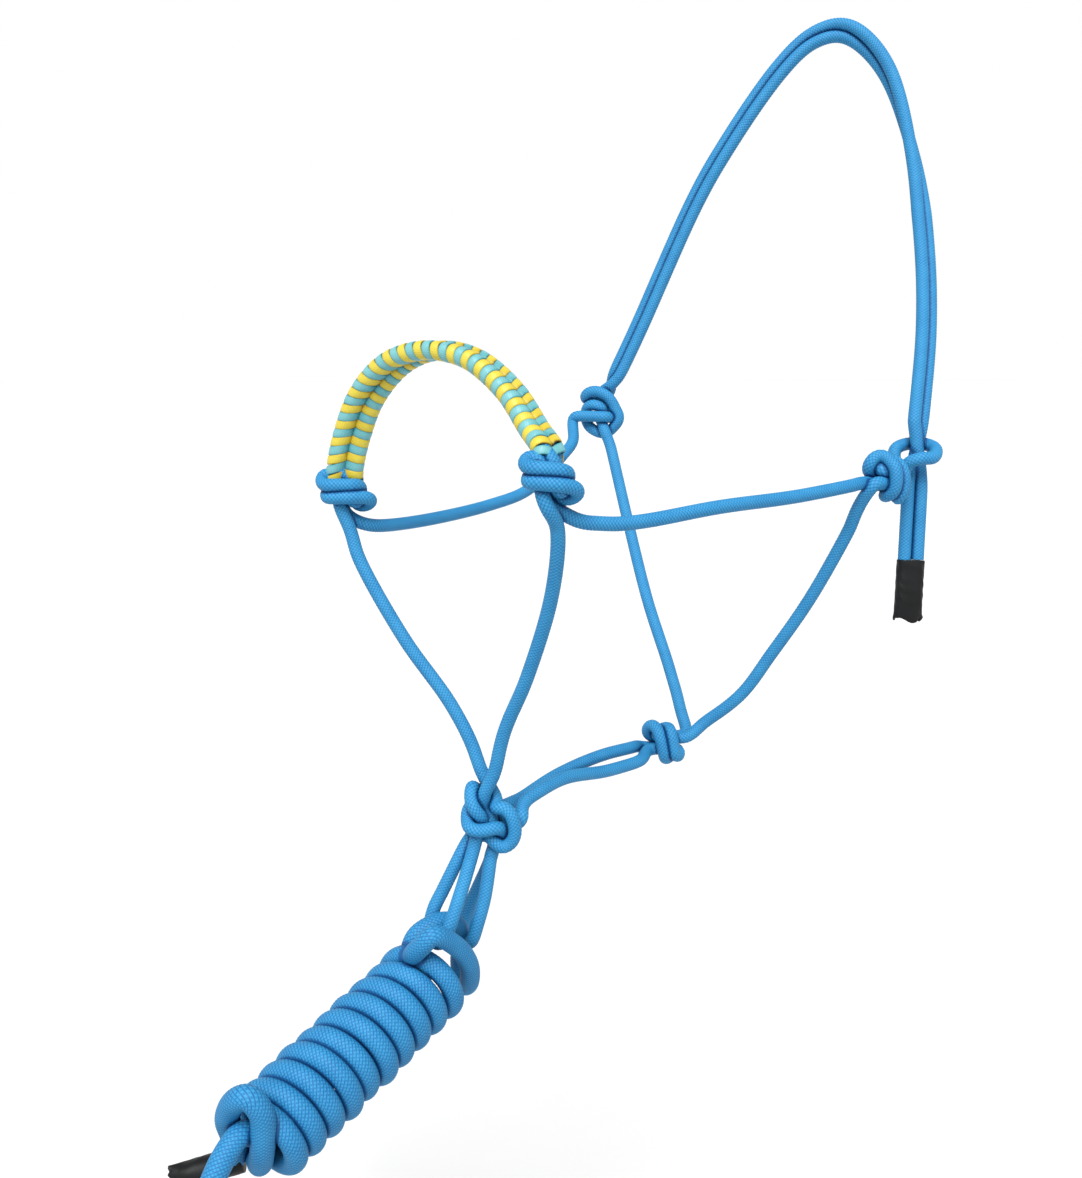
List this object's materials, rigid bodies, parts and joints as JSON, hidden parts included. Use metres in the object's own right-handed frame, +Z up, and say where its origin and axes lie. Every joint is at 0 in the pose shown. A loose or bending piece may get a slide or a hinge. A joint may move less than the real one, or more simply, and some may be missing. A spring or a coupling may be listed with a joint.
{
  "type": "rope halter",
  "caption": "Knotted rope halter with a wrapped noseband, an eye loop at the cheek, a sleeved crown tail and a lead rope wound in a hank on the fiador loops.",
  "frame": {"origin": "middle of the line between the two cheek knots, where a horse's head sits", "axes": "+Z up, the horse's nose points along -X, its near (left) side is -Y and its far (right) side is +Y"},
  "size_m": [0.5357, 0.2619, 0.732],
  "materials": {
    "halter_rope": "bright blue braided polyester cord",
    "lead_rope": "bright blue braided polyester rope, softer and thicker than the halter's",
    "yellow_cord": "glossy flat braided nylon cord, yellow",
    "turquoise_cord": "glossy flat braided nylon cord, turquoise",
    "black_sleeve": "satin black shrink sleeve, pinched at its end"
  },
  "bodies": {
    "headstall": {"near_nose_knot": "halter_rope", "far_nose_knot": "halter_rope", "near_cheek_knot": "halter_rope", "far_cheek_knot": "halter_rope", "throat_knot": "halter_rope", "fiador_knot": "halter_rope", "near_cheek_strand": "halter_rope", "far_cheek_strand": "halter_rope", "near_chin_strand": "halter_rope", "far_chin_strand": "halter_rope", "near_throat_strand": "halter_rope", "far_throat_strand": "halter_rope", "upper_link_strand": "halter_rope", "lower_link_strand": "halter_rope", "eye_loop": "halter_rope", "strands_in_eye": "halter_rope"},
    "noseband": {"noseband_front_strand": "halter_rope", "noseband_back_strand": "halter_rope", "noseband_yellow_wrap": "yellow_cord", "noseband_turquoise_wrap": "turquoise_cord"},
    "crown": {"crown_outer_strand": "halter_rope", "crown_inner_strand": "halter_rope"},
    "crown_tail": {"tail_front_strand": "halter_rope", "tail_back_strand": "halter_rope", "tail_sleeve": "black_sleeve"},
    "fiador_loops": {"front_fiador_loop": "halter_rope", "rear_fiador_loop": "halter_rope"},
    "lead_rope": {"lead_hitch": "lead_rope", "lead_hank": "lead_rope", "lead_tail": "lead_rope", "lead_tail_sleeve": "black_sleeve", "lead_start": "lead_rope", "lead_start_sleeve": "black_sleeve"}
  },
  "joints": [
    {"name": "noseband_fold", "type": "hinge", "parent": "headstall", "child": "noseband", "pos_m": [-0.2375, 0.0125, -0.0175], "axis": [-0.1585, 0.9828, -0.0951], "range_deg": [-70, 45]},
    {"name": "crown_fold", "type": "hinge", "parent": "headstall", "child": "crown", "pos_m": [0.0125, -0.0025, 0.0075], "axis": [-0.187, 0.9768, 0.1039], "range_deg": [-60, 60]},
    {"name": "tail_swing", "type": "hinge", "parent": "headstall", "child": "crown_tail", "pos_m": [0.035, -0.12, -0.005], "axis": [1, 0, 0], "range_deg": [-40, 40]},
    {"name": "loops_swing", "type": "hinge", "parent": "headstall", "child": "fiador_loops", "pos_m": [-0.215, 0, -0.236], "axis": [0, 1, 0], "range_deg": [-50, 25]},
    {"name": "lead_swing", "type": "hinge", "parent": "fiador_loops", "child": "lead_rope", "pos_m": [-0.237, 0, -0.279], "axis": [0.848, 0, -0.5299], "range_deg": [-25, 25]}
  ]
}
